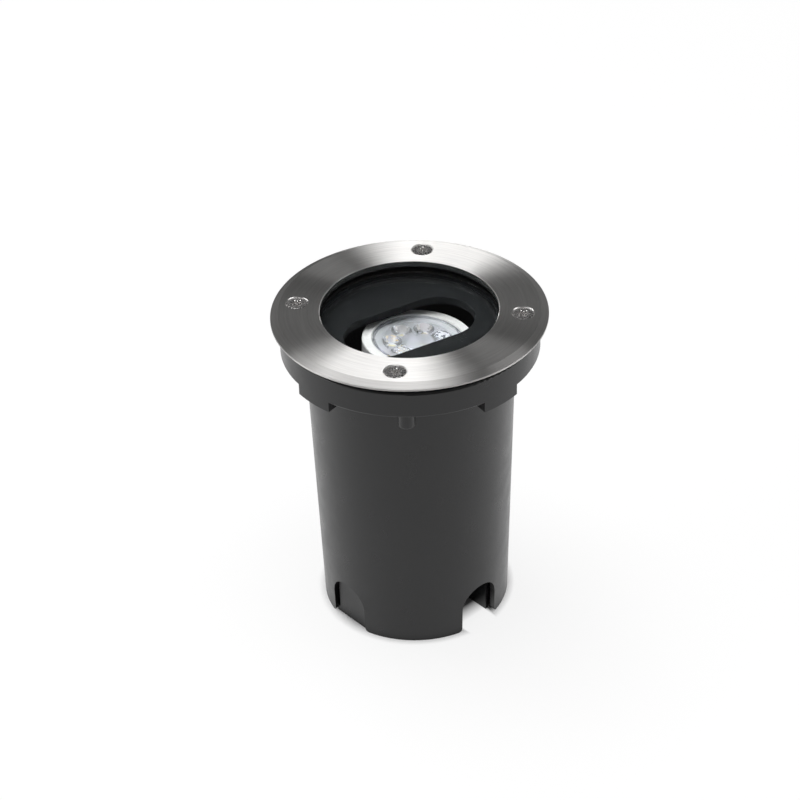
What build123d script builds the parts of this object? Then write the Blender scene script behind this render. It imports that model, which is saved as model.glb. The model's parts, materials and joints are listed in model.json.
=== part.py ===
from build123d import *
from math import atan, cos, degrees, radians, sin, sqrt
import os

# In ground well light: a moulded pot sunk in the ground, a steel cover ring with a
# walk-over glass, and under the glass a swivelling baffle that carries a tilting lamp.
# The origin is on the pot's axis at its foot, +Z up. Lengths are in millimetres.
# The pot's front (a screw boss between two cable arches) faces -Y.

# ---- glass and its gasket: the rest is built round the glass ----
glass_radius = 43.0
glass_thickness = 6.0
glass_edge_chamfer = 0.5
gasket_side_wall = 1.5
gasket_top_lip = 0.4
gasket_bottom_lip = 1.2
gasket_lip_cover = 3.4

# ---- heights of the stack ----
pot_height = 148.2
flange_gasket_thickness = 0.8
gasket_land = 8.2
ring_thickness = 2.6
chamber_floor_top = 28.8
chamber_floor_thickness = 2.8

# ---- pot barrel: the wall round the glass bore, and the taper down to the foot ----
bore_wall = 1.2
barrel_taper = 3.3
barrel_wall = 2.8

# ---- pot collar, the flange round the pot's mouth; its heights hang from the rim ----
collar_reach = 10.5
collar_height = 14.7
collar_skirt_wall = 2.6
collar_neck_height = 2.8
collar_neck_inset = 1.7
collar_plate_thickness = 6.2
collar_corner_radius = 0.8
collar_rib_count = 16
collar_rib_thickness = 1.8

# ---- anchor lugs and screw bosses under the collar ----
lug_count = 4
lug_first_angle = -45.0
lug_half_angle = 9.7
lug_drop = 4.4
lug_wall = 2.0
boss_first_angle = -90.0
boss_radius = 3.65
boss_length = 23.9
boss_tip_fillet = 1.2
boss_web_width = 5.0
insert_boss_radius = 5.2
insert_boss_floor = 1.6

# ---- cable arches in the foot, two open and two closed by a knock-out web ----
arch_width = 20.4
arch_height = 22.5
arch_corner_radius = 2.0
open_arch_angles = (-45.0, 135.0)
closed_arch_angles = (-135.0, 45.0)
web_recess = 2.6
web_thickness = 1.5
web_slit_width = 1.7
web_slit_bottom = 3.0
web_slit_height = 14.0
web_pry_hole_radius = 0.7
web_pry_hole_drop = 1.9
web_pry_hole_offset = 2.4
channel_width = 17.2
channel_wall = 1.6
channel_end_gap = 1.0

# ---- cover ring and its screws ----
ring_overhang = 3.5
ring_glass_cover = 4.35
ring_bevel_width = 3.5
ring_bevel_drop = 1.6
ring_inner_chamfer = 0.4
ring_edge_fillet = 0.25
screw_edge_distance = 4.2
screw_count = 4
screw_first_angle = -94.85
screw_radius = 2.5
screw_length = 12.0
screw_head_radius = 4.9
screw_head_sink = 0.15
screw_socket_flats = 3.6
screw_socket_depth = 1.5
screw_socket_pin_radius = 0.55
screw_dome_fillet = 0.35
countersink_angle = 90.0
insert_wall = 1.0
insert_length = 8.0

# ---- swivel seat and baffle ----
seat_height = 3.8
seat_recess = 1.6
seat_ledge_width = 4.4
baffle_rim_lap = 1.0
baffle_rim_thickness = 1.2
baffle_wall = 1.92
baffle_depth = 2.2
baffle_floor_thickness = 1.6
baffle_cove_radius = 1.9
slot_half_spread = 14.5
slot_radius = 15.95
slot_collar_wall = 1.4
slot_collar_drop = 2.0
slot_edge_fillet = 0.35
swivel_rest_angle = 32.6

# ---- arms that hang from the baffle and carry the tilt pivot ----
lamp_side_gap = 2.4
arm_thickness = 1.5
arm_width = 12.0
arm_foot_length = 10.5
arm_bend_radius = 1.9
arm_pad_thickness = 3.0
arm_screw_spread = 6.4
arm_screw_radius = 1.25
arm_screw_head_radius = 2.3
arm_screw_head_height = 1.3
arm_screw_bite = 2.4
pivot_screw_radius = 2.0
pivot_head_radius = 3.6
pivot_head_height = 2.2
pivot_nut_flats = 6.4
pivot_nut_height = 2.0
pivot_socket_flats = 2.4
friction_washer_thickness = 0.6
friction_washer_radius = 5.0

# ---- tilting cradle and lampholder ----
tilt_rest_angle = 4.0
lamp_face_above_pivot = 59.0
lamp_face_gap = 3.85
cradle_thickness = 1.5
cradle_width = 20.0
cradle_wire_hole_radius = 4.2
holder_rim = 0.6
holder_height = 18.0
holder_edge_fillet = 1.0
holder_flat_distance = 11.5
holder_screw_spread = 17.0
holder_screw_radius = 1.5
holder_screw_head_radius = 2.7
holder_screw_head_height = 1.8
holder_screw_bite = 8.0

# ---- lamp: twist-lock base, body, optic and light source ----
lamp_radius = 24.6
lamp_length = 47.0
lamp_rim_height = 6.0
lamp_wall = 1.6
lamp_neck_radius = 13.4
lamp_neck_height = 12.0
lamp_rim_width = 4.4
lamp_rim_fillet = 0.7
lamp_web_thickness = 2.0
driver_thickness = 1.6
driver_width = 18.0
driver_part_size = 5.0
driver_part_count = 3
optic_recess = 0.6
optic_thickness = 2.4
optic_cup_top_radius = 4.7
optic_cup_bottom_radius = 2.4
optic_cup_height = 6.4
optic_edge_land = 3.9
led_count = 7
led_first_angle = -5.0
led_size = 3.0
led_height = 0.6
led_gap_to_cup = 0.2
led_board_thickness = 1.6
pin_spacing = 10.0
pin_neck_radius = 1.5
pin_head_radius = 2.45
pin_head_height = 2.2
pin_length = 6.6
pin_root = 3.0
pin_pocket_clearance = 0.35

# ---- leads and floating connector under the lampholder ----
lead_radius = 1.1
lead_spacing = 4.0
lead_embed = 3.0
lead_bend_radius = 1.6
connector_length = 24.0
connector_width = 12.0
connector_height = 11.0
connector_pole_spacing = 10.0
connector_edge_fillet = 1.0
connector_screw_radius = 1.9
connector_screw_height = 2.0
connector_slot_width = 0.8

# ---- cable gland in the chamber floor ----
gland_thread_radius = 8.0
gland_top_stand = 5.5
gland_bore_radius = 4.3
gland_hex_flats = 20.0
gland_hex_height = 5.0
gland_washer_thickness = 1.0
gland_washer_radius = 11.0
gland_locknut_flats = 21.0
gland_locknut_height = 4.0
gland_nut_radius = 10.2
gland_nut_length = 13.0
gland_nut_mouth_wall = 2.6
gland_nut_round = 3.0
gland_nut_grip_count = 12
gland_nut_grip_radius = 0.7
gland_sleeve_radius = 6.4
gland_sleeve_length = 7.0
gland_seal_wall = 2.0

# ---- clearances ----
running_clearance = 0.05
swivel_clearance = 0.08
fixed_clearance = 0.03
hole_clearance = 0.25
drop_in_clearance = 0.1
rim_clearance = 0.3

# ---- how closely an edge has to lie where it is looked for ----
match = 0.01

# ---- values worked out from those above ----
overall_height = pot_height + flange_gasket_thickness + ring_thickness
ring_underside = pot_height + flange_gasket_thickness
collar_underside = pot_height - collar_height
collar_shoulder = pot_height - collar_neck_height
collar_plate_underside = pot_height - collar_plate_thickness
boss_bottom = pot_height - boss_length
glass_top = ring_underside - gasket_top_lip
glass_bottom = glass_top - glass_thickness
gasket_bottom = glass_bottom - gasket_bottom_lip
gasket_radius = glass_radius + gasket_side_wall
pot_bore_radius = gasket_radius + rim_clearance
barrel_top_radius = pot_bore_radius + bore_wall
foot_radius = barrel_top_radius - barrel_taper
collar_radius = barrel_top_radius + collar_reach
collar_neck_radius = collar_radius - collar_neck_inset
ring_radius = collar_radius + ring_overhang
ring_opening_radius = glass_radius - ring_glass_cover
screw_circle_radius = pot_bore_radius + screw_edge_distance
web_face_distance = foot_radius - web_recess
# Ribs, lugs and bosses root in the middle of the wall round the bore.
wall_middle_radius = (pot_bore_radius + barrel_top_radius) / 2
insert_boss_bottom = pot_height - screw_length - insert_boss_floor
seat_bottom = gasket_bottom - seat_height
seat_recess_bottom = gasket_bottom - seat_recess
chamber_floor_bottom = chamber_floor_top - chamber_floor_thickness
barrel_draft = (barrel_top_radius - foot_radius) / collar_underside
baffle_rim_top = seat_recess_bottom + baffle_rim_thickness
baffle_floor_top = baffle_rim_top - baffle_depth
baffle_floor_bottom = baffle_floor_top - baffle_floor_thickness
seat_bore_radius = pot_bore_radius - seat_ledge_width
baffle_rim_radius = seat_bore_radius + baffle_rim_lap
baffle_wall_radius = seat_bore_radius - swivel_clearance
baffle_inner_radius = baffle_wall_radius - baffle_wall
slot_collar_bottom = baffle_floor_bottom - slot_collar_drop
arm_pad_bottom = baffle_floor_bottom - arm_pad_thickness
arm_inner_face = lamp_radius + lamp_side_gap
arm_outer_face = arm_inner_face + arm_thickness
lamp_face_height = slot_collar_bottom - lamp_face_gap
pivot_height = lamp_face_height - lamp_face_above_pivot * cos(radians(tilt_rest_angle))
ear_outer_face = arm_inner_face - friction_washer_thickness
ear_inner_face = ear_outer_face - cradle_thickness
lamp_seat = lamp_face_above_pivot - lamp_length
holder_radius = lamp_neck_radius + holder_rim
cradle_top = lamp_seat - holder_height
cradle_bottom = cradle_top - cradle_thickness
insert_radius = screw_radius + insert_wall
screw_head_height = screw_head_radius - screw_radius
screw_head_top = overall_height - screw_head_sink
optic_radius = lamp_radius - lamp_rim_width
optic_top = lamp_face_above_pivot - optic_recess
optic_bottom = optic_top - optic_thickness
led_circle_radius = optic_radius - optic_edge_land - optic_cup_top_radius
led_board_top = optic_bottom - optic_cup_height - led_gap_to_cup - led_height
lamp_rim_bottom = lamp_face_above_pivot - lamp_rim_height
cavity_top = led_board_top - led_board_thickness - lamp_web_thickness
lamp_neck_top = lamp_seat + lamp_neck_height
gland_thread_top = chamber_floor_top + gland_top_stand
gland_hex_top = chamber_floor_bottom - gland_washer_thickness
gland_hex_bottom = gland_hex_top - gland_hex_height
gland_nut_bottom = gland_hex_bottom - gland_nut_length
# The connector hangs on its leads, midway between the cradle and the gland.
lead_drop = (pivot_height + cradle_bottom - gland_thread_top - connector_height) / 2
connector_top = cradle_bottom - lead_drop


def barrel_radius(height):
    """Outer radius of the drafted barrel at a height above the foot."""
    return foot_radius + barrel_draft * height


def chamber_radius(height):
    """Inner radius of the drafted barrel at a height above the foot."""
    return barrel_radius(height) - barrel_wall


def facing(angle, distance, height=0.0):
    """Upright plane square to a radius of the pot; its local X runs round, its Y up."""
    turn = radians(angle)
    outward = (cos(turn), sin(turn), 0)
    centre = (distance * outward[0], distance * outward[1], height)
    return Plane(origin=centre, x_dir=(-sin(turn), cos(turn), 0), z_dir=outward)


# The swivel frame turns with the baffle: its X runs along the slot, its Y along the pivot.
slot_direction = (cos(radians(swivel_rest_angle)), sin(radians(swivel_rest_angle)), 0)
pivot_direction = (-slot_direction[1], slot_direction[0], 0)
swivel_frame = Plane(origin=(0, 0, 0), x_dir=slot_direction, z_dir=(0, 0, 1))
# Its upright plane across the slot: local X along the pivot, local Y up.
swivel_section = Plane(origin=(0, 0, 0), x_dir=pivot_direction, z_dir=slot_direction)
# The lamp frame stands on the pivot and leans along the slot: its Z is the lamp's axis.
lean = radians(tilt_rest_angle)
lamp_direction = (slot_direction[0] * sin(lean), slot_direction[1] * sin(lean), cos(lean))
lamp_cross = (slot_direction[0] * cos(lean), slot_direction[1] * cos(lean), -sin(lean))
lamp_frame = Plane(origin=(0, 0, pivot_height), x_dir=lamp_cross, z_dir=lamp_direction)
# A plane through the lamp's axis: local X to the side, local Y up the axis.
lamp_section = Plane(origin=(0, 0, pivot_height), x_dir=lamp_cross,
                     z_dir=tuple(-part for part in pivot_direction))
lamp_axis = Axis((0, 0, pivot_height), lamp_direction)


# ======================= pot =======================

# The four long bosses under the collar are round, and a web joins each to the barrel.
with BuildPart() as long_bosses:
    with BuildSketch(Plane.XY.offset(boss_bottom)):
        with PolarLocations(screw_circle_radius, lug_count, start_angle=boss_first_angle):
            Circle(boss_radius)
    extrude(amount=collar_plate_underside - boss_bottom)
    fillet(long_bosses.faces().group_by(Axis.Z)[0].edges(), boss_tip_fillet)
    web_bottom = boss_bottom + boss_tip_fillet
    with BuildSketch(Plane.XY.offset(web_bottom)):
        with PolarLocations(screw_circle_radius / 2, lug_count, start_angle=boss_first_angle):
            Rectangle(screw_circle_radius, boss_web_width)
        Circle(wall_middle_radius, mode=Mode.SUBTRACT)
    extrude(amount=collar_plate_underside - web_bottom)

with BuildPart() as pot:
    with BuildSketch(Plane.XZ):
        with BuildLine():
            Polyline(
                (foot_radius, 0),
                (barrel_radius(collar_plate_underside), collar_plate_underside),
                (collar_radius - collar_skirt_wall, collar_plate_underside),
                (collar_radius - collar_skirt_wall, collar_underside),
                (collar_radius, collar_underside),
                (collar_radius, collar_shoulder),
                (collar_neck_radius, collar_shoulder),
                (collar_neck_radius, pot_height),
                (pot_bore_radius, pot_height),
                (pot_bore_radius, seat_bottom),
                (chamber_radius(seat_bottom), seat_bottom),
                (chamber_radius(chamber_floor_top), chamber_floor_top),
                (0, chamber_floor_top),
                (0, chamber_floor_bottom),
                (chamber_radius(chamber_floor_bottom), chamber_floor_bottom),
                (chamber_radius(0), 0),
                close=True,
            )
        make_face()
    revolve(axis=Axis.Z)
    rims = pot.edges().filter_by(GeomType.CIRCLE)
    skirt_corners = rims.filter_by(
        lambda edge: abs(edge.radius - collar_radius) < match)
    fillet(skirt_corners, collar_corner_radius)

    # ribs that stiffen the hollow collar
    rib_inner = wall_middle_radius
    rib_outer = collar_radius - collar_skirt_wall / 2
    with BuildSketch(Plane.XY.offset(collar_underside + collar_rib_thickness)):
        with PolarLocations((rib_inner + rib_outer) / 2, collar_rib_count,
                            start_angle=180 / collar_rib_count):
            Rectangle(rib_outer - rib_inner, collar_rib_thickness)
    extrude(amount=collar_plate_underside - collar_underside - collar_rib_thickness)

    # bosses that reach below the collar
    add(long_bosses.part)

    # bosses round the threaded inserts
    with BuildSketch(Plane.XY.offset(insert_boss_bottom)):
        with PolarLocations(screw_circle_radius, screw_count, start_angle=screw_first_angle):
            Circle(insert_boss_radius)
        Circle(wall_middle_radius, mode=Mode.SUBTRACT)
    extrude(amount=collar_plate_underside - insert_boss_bottom)

    # anchor lugs, cored from below
    for lug in range(lug_count):
        middle = lug_first_angle + lug * 360 / lug_count
        with BuildSketch(Plane.XY.offset(collar_underside - lug_drop)):
            Circle(collar_radius)
            Circle(wall_middle_radius, mode=Mode.SUBTRACT)
            with BuildLine():
                reach = 2 * collar_radius
                Polyline(
                    (0, 0),
                    (reach * cos(radians(middle - lug_half_angle)),
                     reach * sin(radians(middle - lug_half_angle))),
                    (reach * cos(radians(middle + lug_half_angle)),
                     reach * sin(radians(middle + lug_half_angle))),
                    close=True,
                )
            make_face(mode=Mode.INTERSECT)
        extrude(amount=collar_plate_underside - collar_underside + lug_drop)
    with BuildSketch(Plane.XY.offset(collar_underside - lug_drop)):
        lug_pocket_inner = barrel_top_radius + lug_wall
        lug_pocket_outer = collar_radius - collar_skirt_wall
        lug_pocket_width = 2 * lug_pocket_inner * sin(radians(lug_half_angle)) - 2 * lug_wall
        with PolarLocations((lug_pocket_inner + lug_pocket_outer) / 2, lug_count,
                            start_angle=lug_first_angle):
            RectangleRounded(lug_pocket_outer - lug_pocket_inner, lug_pocket_width, lug_wall / 2)
    extrude(amount=lug_drop + collar_plate_underside - collar_underside - lug_wall,
            mode=Mode.SUBTRACT)

    # cable arches through the skirt, with rounded lower corners
    channel_side = channel_width / 2
    channel_end_radius = chamber_radius(0) - channel_end_gap
    channel_reach = sqrt(channel_end_radius ** 2 - (channel_side + channel_wall) ** 2)
    for angle in open_arch_angles + closed_arch_angles:
        with BuildSketch(facing(angle, channel_reach)):
            with Locations((0, arch_height - arch_width / 2)):
                Circle(arch_width / 2)
            with Locations((0, (arch_height - arch_width / 2) / 2)):
                Rectangle(arch_width, arch_height - arch_width / 2)
            for side in (-1, 1):
                with BuildLine():
                    edge = side * arch_width / 2
                    flare = edge + side * arch_corner_radius
                    rise = arch_corner_radius * (1 - sqrt(0.5))
                    Line((edge, 0), (flare, 0))
                    ThreePointArc((flare, 0), (edge + side * rise, rise),
                                  (edge, arch_corner_radius))
                    Line((edge, arch_corner_radius), (edge, 0))
                make_face()
        extrude(amount=foot_radius, mode=Mode.SUBTRACT)

    # knock-out webs in the closed arches, held at the top and at the bottom corners
    for angle in closed_arch_angles:
        with BuildSketch(facing(angle, web_face_distance)):
            with Locations((0, arch_height - arch_width / 2)):
                Circle(arch_width / 2)
            with Locations((0, (arch_height - arch_width / 2) / 2)):
                Rectangle(arch_width, arch_height - arch_width / 2)
            slit_reach = arch_width / 2 - web_slit_width / 2
            with Locations((-slit_reach, web_slit_bottom + web_slit_height / 2),
                           (slit_reach, web_slit_bottom + web_slit_height / 2)):
                Rectangle(web_slit_width, web_slit_height, mode=Mode.SUBTRACT)
            with Locations((web_pry_hole_offset, arch_height - web_pry_hole_drop)):
                Circle(web_pry_hole_radius, mode=Mode.SUBTRACT)
        extrude(amount=-web_thickness)

    # guide walls that lead each cable from its arch to the middle of the foot
    with BuildSketch(Plane.XY):
        with PolarLocations(0, lug_count, start_angle=lug_first_angle):
            middle = (channel_side + channel_reach) / 2
            with Locations((middle, channel_side + channel_wall / 2),
                           (middle, -channel_side - channel_wall / 2)):
                Rectangle(channel_reach - channel_side, channel_wall)
    extrude(amount=chamber_floor_bottom)

    # hole for the gland, and stepped holes for the threaded inserts
    with BuildSketch(Plane.XY.offset(chamber_floor_bottom)):
        Circle(gland_thread_radius + hole_clearance)
    extrude(amount=chamber_floor_thickness, mode=Mode.SUBTRACT)
    with BuildSketch(Plane.XY.offset(pot_height)):
        with PolarLocations(screw_circle_radius, screw_count, start_angle=screw_first_angle):
            Circle(insert_radius + fixed_clearance)
    extrude(amount=-insert_length, mode=Mode.SUBTRACT)
    with BuildSketch(Plane.XY.offset(pot_height)):
        with PolarLocations(screw_circle_radius, screw_count, start_angle=screw_first_angle):
            Circle(screw_radius + hole_clearance)
    extrude(amount=-screw_length, mode=Mode.SUBTRACT)

# ======================= cable gland =======================

with BuildPart() as gland_body:
    with BuildSketch(Plane.XY.offset(chamber_floor_bottom - gland_washer_thickness)):
        Circle(gland_thread_radius)
    extrude(amount=gland_thread_top - chamber_floor_bottom + gland_washer_thickness)
    with BuildSketch(Plane.XY.offset(gland_hex_bottom)):
        RegularPolygon(gland_hex_flats / 2, 6, major_radius=False)
    extrude(amount=gland_hex_height)
    with BuildSketch(Plane.XY.offset(gland_hex_bottom - gland_sleeve_length)):
        Circle(gland_sleeve_radius + gland_seal_wall)
    extrude(amount=gland_sleeve_length)
    with BuildSketch(Plane.XY.offset(gland_hex_bottom - gland_sleeve_length)):
        Circle(gland_sleeve_radius)
    extrude(amount=gland_sleeve_length, mode=Mode.SUBTRACT)
    with BuildSketch(Plane.XY.offset(gland_hex_bottom)):
        Circle(gland_bore_radius)
    extrude(amount=gland_thread_top - gland_hex_bottom, mode=Mode.SUBTRACT)

with BuildPart() as gland_washer:
    with BuildSketch(Plane.XY.offset(gland_hex_top)):
        Circle(gland_washer_radius)
        Circle(gland_thread_radius + hole_clearance, mode=Mode.SUBTRACT)
    extrude(amount=gland_washer_thickness)

with BuildPart() as gland_locknut:
    with BuildSketch(Plane.XY.offset(chamber_floor_top)):
        RegularPolygon(gland_locknut_flats / 2, 6, major_radius=False)
        Circle(gland_thread_radius + fixed_clearance, mode=Mode.SUBTRACT)
    extrude(amount=gland_locknut_height)

with BuildPart() as gland_seal:
    with BuildSketch(Plane.XY.offset(gland_nut_bottom + gland_nut_mouth_wall)):
        Circle(gland_sleeve_radius - fixed_clearance)
        Circle(gland_bore_radius, mode=Mode.SUBTRACT)
    extrude(amount=gland_hex_bottom - gland_nut_bottom - gland_nut_mouth_wall)

with BuildPart() as gland_nut:
    with BuildSketch(Plane.XY.offset(gland_nut_bottom)):
        Circle(gland_nut_radius)
    extrude(amount=gland_nut_length)
    fillet(gland_nut.faces().sort_by(Axis.Z)[0].edges(), gland_nut_round)
    with BuildSketch(Plane.XY.offset(gland_nut_bottom + gland_nut_round)):
        with PolarLocations(gland_nut_radius, gland_nut_grip_count):
            Circle(gland_nut_grip_radius)
    extrude(amount=gland_nut_length, mode=Mode.SUBTRACT)
    with BuildSketch(Plane.XY.offset(gland_nut_bottom + gland_nut_mouth_wall)):
        Circle(gland_sleeve_radius + gland_seal_wall + fixed_clearance)
    extrude(amount=gland_nut_length, mode=Mode.SUBTRACT)
    with BuildSketch(Plane.XY.offset(gland_nut_bottom)):
        Circle(gland_bore_radius)
    extrude(amount=gland_nut_mouth_wall, mode=Mode.SUBTRACT)

# ======================= cover: gaskets, glass, ring, screws =======================

with BuildPart() as flange_gasket:
    with BuildSketch(Plane.XY.offset(pot_height)):
        Circle(screw_circle_radius + gasket_land / 2)
        Circle(screw_circle_radius - gasket_land / 2, mode=Mode.SUBTRACT)
        with PolarLocations(screw_circle_radius, screw_count, start_angle=screw_first_angle):
            Circle(screw_radius + 2 * hole_clearance, mode=Mode.SUBTRACT)
    extrude(amount=flange_gasket_thickness)

with BuildPart() as glass_gasket:
    with BuildSketch(Plane.XZ):
        with BuildLine():
            lip_radius = glass_radius - gasket_lip_cover
            Polyline(
                (lip_radius, gasket_bottom),
                (gasket_radius, gasket_bottom),
                (gasket_radius, ring_underside),
                (lip_radius, ring_underside),
                (lip_radius, glass_top),
                (glass_radius + fixed_clearance, glass_top),
                (glass_radius + fixed_clearance, glass_bottom),
                (lip_radius, glass_bottom),
                close=True,
            )
        make_face()
    revolve(axis=Axis.Z)

with BuildPart() as cover_glass:
    with BuildSketch(Plane.XY.offset(glass_bottom)):
        Circle(glass_radius)
    extrude(amount=glass_thickness)
    chamfer(cover_glass.edges().filter_by(GeomType.CIRCLE), glass_edge_chamfer)

with BuildPart() as cover_ring:
    with BuildSketch(Plane.XZ):
        with BuildLine():
            Polyline(
                (ring_opening_radius, ring_underside),
                (ring_radius, ring_underside),
                (ring_radius, overall_height - ring_bevel_drop),
                (ring_radius - ring_bevel_width, overall_height),
                (ring_opening_radius + ring_inner_chamfer, overall_height),
                (ring_opening_radius, overall_height - ring_inner_chamfer),
                close=True,
            )
        make_face()
    revolve(axis=Axis.Z)
    rim_edges = cover_ring.edges().filter_by(GeomType.CIRCLE).filter_by(
        lambda edge: edge.radius > ring_radius - ring_bevel_width - match)
    fillet(rim_edges, ring_edge_fillet)
    with Locations(Plane.XY.offset(overall_height)):
        with PolarLocations(screw_circle_radius, screw_count, start_angle=screw_first_angle):
            CounterSinkHole(screw_radius + hole_clearance,
                            screw_head_radius + screw_head_sink + fixed_clearance,
                            counter_sink_angle=countersink_angle)

with BuildPart() as cover_screws:
    head_bottom = screw_head_top - screw_head_height
    with BuildSketch(Plane.XY.offset(head_bottom - screw_length)):
        with PolarLocations(screw_circle_radius, screw_count, start_angle=screw_first_angle):
            Circle(screw_radius)
    extrude(amount=screw_length)
    with BuildSketch(Plane.XY.offset(head_bottom)):
        with PolarLocations(screw_circle_radius, screw_count, start_angle=screw_first_angle):
            Circle(screw_radius)
    extrude(amount=screw_head_height, taper=-countersink_angle / 2)
    crowns = cover_screws.edges().filter_by(GeomType.CIRCLE).filter_by(
        lambda edge: abs(edge.center().Z - screw_head_top) < match)
    fillet(crowns, screw_dome_fillet)
    with BuildSketch(Plane.XY.offset(screw_head_top)):
        with PolarLocations(screw_circle_radius, screw_count, start_angle=screw_first_angle):
            RegularPolygon(screw_socket_flats / 2, 6, major_radius=False)
            Circle(screw_socket_pin_radius, mode=Mode.SUBTRACT)
    extrude(amount=-screw_socket_depth, mode=Mode.SUBTRACT)

with BuildPart() as screw_inserts:
    with BuildSketch(Plane.XY.offset(pot_height - insert_length)):
        with PolarLocations(screw_circle_radius, screw_count, start_angle=screw_first_angle):
            Circle(insert_radius)
            Circle(screw_radius + fixed_clearance, mode=Mode.SUBTRACT)
    extrude(amount=insert_length)

# ======================= swivel: seat, baffle, arms =======================

with BuildPart() as swivel_seat:
    with BuildSketch(Plane.XY.offset(seat_bottom)):
        Circle(pot_bore_radius - drop_in_clearance)
        Circle(seat_bore_radius, mode=Mode.SUBTRACT)
    extrude(amount=seat_height)
    with BuildSketch(Plane.XY.offset(seat_recess_bottom)):
        Circle(baffle_rim_radius + rim_clearance)
    extrude(amount=seat_recess, mode=Mode.SUBTRACT)

with BuildPart() as baffle:
    with BuildSketch(Plane.XY.offset(baffle_floor_bottom)):
        Circle(baffle_wall_radius)
    extrude(amount=baffle_rim_top - baffle_floor_bottom)
    with BuildSketch(Plane.XY.offset(seat_recess_bottom)):
        Circle(baffle_rim_radius)
    extrude(amount=baffle_rim_thickness)
    with BuildSketch(Plane.XY.offset(baffle_rim_top)):
        Circle(baffle_inner_radius)
    extrude(amount=-baffle_depth, mode=Mode.SUBTRACT)
    cove = baffle.edges().filter_by(GeomType.CIRCLE).filter_by(
        lambda edge: abs(edge.center().Z - baffle_floor_top) < match)
    fillet(cove, baffle_cove_radius)
    with BuildSketch(swivel_frame.offset(slot_collar_bottom)):
        SlotCenterToCenter(2 * slot_half_spread, 2 * (slot_radius + slot_collar_wall))
    extrude(amount=slot_collar_drop)
    with BuildSketch(swivel_frame.offset(arm_pad_bottom)):
        with Locations((0, arm_inner_face + arm_foot_length / 2),
                       (0, -arm_inner_face - arm_foot_length / 2)):
            Rectangle(arm_width, arm_foot_length)
    extrude(amount=arm_pad_thickness)
    with BuildSketch(swivel_frame.offset(baffle_floor_top)):
        SlotCenterToCenter(2 * slot_half_spread, 2 * slot_radius)
    extrude(amount=slot_collar_bottom - baffle_floor_top,
            mode=Mode.SUBTRACT)
    floor_edges = baffle.edges().filter_by(
        lambda edge: abs(edge.center().Z - baffle_floor_top) < match)
    slot_edges = floor_edges.filter_by(GeomType.LINE) + floor_edges.filter_by(
        GeomType.CIRCLE).filter_by(lambda edge: abs(edge.radius - slot_radius) < match)
    fillet(slot_edges, slot_edge_fillet)
    arm_screw_places = [(along, side * (arm_outer_face + arm_foot_length / 2))
                        for side in (-1, 1)
                        for along in (-arm_screw_spread / 2, arm_screw_spread / 2)]
    with BuildSketch(swivel_frame.offset(arm_pad_bottom)):
        with Locations(*arm_screw_places):
            Circle(arm_screw_radius + fixed_clearance)
    extrude(amount=arm_screw_bite + fixed_clearance, mode=Mode.SUBTRACT)


def build_arm(side):
    """Hanging arm on one side of the lamp: a bent strip with a foot and a pivot hole."""
    with BuildPart() as arm:
        with BuildSketch(swivel_section):
            with BuildLine():
                Polyline(
                    (side * arm_inner_face, pivot_height),
                    (side * arm_inner_face, arm_pad_bottom),
                    (side * (arm_inner_face + arm_foot_length), arm_pad_bottom),
                    (side * (arm_inner_face + arm_foot_length), arm_pad_bottom - arm_thickness),
                    (side * arm_outer_face, arm_pad_bottom - arm_thickness),
                    (side * arm_outer_face, pivot_height),
                    close=True,
                )
            make_face()
        extrude(amount=arm_width / 2, both=True)
        bend = arm.edges().filter_by(
            lambda edge: abs(edge.length - arm_width) < match
            and abs(edge.center().Z - arm_pad_bottom) < match
            and abs(abs(edge.center().dot(Vector(*pivot_direction))) - arm_inner_face) < match)
        fillet(bend, arm_bend_radius)
        pivot_plane = Plane(origin=(0, 0, pivot_height), x_dir=slot_direction,
                            z_dir=tuple(side * part for part in pivot_direction))
        with BuildSketch(pivot_plane.offset(arm_inner_face)):
            Circle(arm_width / 2)
        extrude(amount=arm_thickness)
        with BuildSketch(pivot_plane.offset(arm_inner_face)):
            Circle(pivot_screw_radius + fixed_clearance)
        extrude(amount=arm_thickness, mode=Mode.SUBTRACT)
        with BuildSketch(swivel_frame.offset(arm_pad_bottom)):
            with Locations(*arm_screw_places):
                Circle(arm_screw_radius + hole_clearance)
        extrude(amount=-arm_thickness, mode=Mode.SUBTRACT)
    return arm


arm_left = build_arm(1)
arm_right = build_arm(-1)

with BuildPart() as arm_screws:
    with BuildSketch(swivel_frame.offset(arm_pad_bottom - arm_thickness)):
        with Locations(*arm_screw_places):
            Circle(arm_screw_radius)
    extrude(amount=arm_thickness + arm_screw_bite)
    with BuildSketch(swivel_frame.offset(arm_pad_bottom - arm_thickness)):
        with Locations(*arm_screw_places):
            Circle(arm_screw_head_radius)
    extrude(amount=-arm_screw_head_height)
    heads = arm_screws.faces().sort_by(Axis.Z)[0:len(arm_screw_places)]
    fillet(heads.edges(), arm_screw_head_height / 3)

# The pivot frames look outwards along the pivot, one on each side.
pivot_frames = [Plane(origin=(0, 0, pivot_height), x_dir=slot_direction,
                      z_dir=tuple(side * part for part in pivot_direction))
                for side in (-1, 1)]

with BuildPart() as pivot_screws:
    for frame in pivot_frames:
        shank_start = ear_inner_face - pivot_nut_height
        with BuildSketch(frame.offset(shank_start)):
            Circle(pivot_screw_radius)
        extrude(amount=arm_outer_face - shank_start)
        with BuildSketch(frame.offset(arm_outer_face)):
            Circle(pivot_head_radius)
        extrude(amount=pivot_head_height)
        with BuildSketch(frame.offset(arm_outer_face + pivot_head_height)):
            RegularPolygon(pivot_socket_flats / 2, 6, major_radius=False)
        extrude(amount=-pivot_head_height / 2, mode=Mode.SUBTRACT)

with BuildPart() as pivot_nuts:
    for frame in pivot_frames:
        with BuildSketch(frame.offset(ear_inner_face - running_clearance)):
            RegularPolygon(pivot_nut_flats / 2, 6, major_radius=False)
            Circle(pivot_screw_radius + fixed_clearance, mode=Mode.SUBTRACT)
        extrude(amount=running_clearance - pivot_nut_height)

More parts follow.
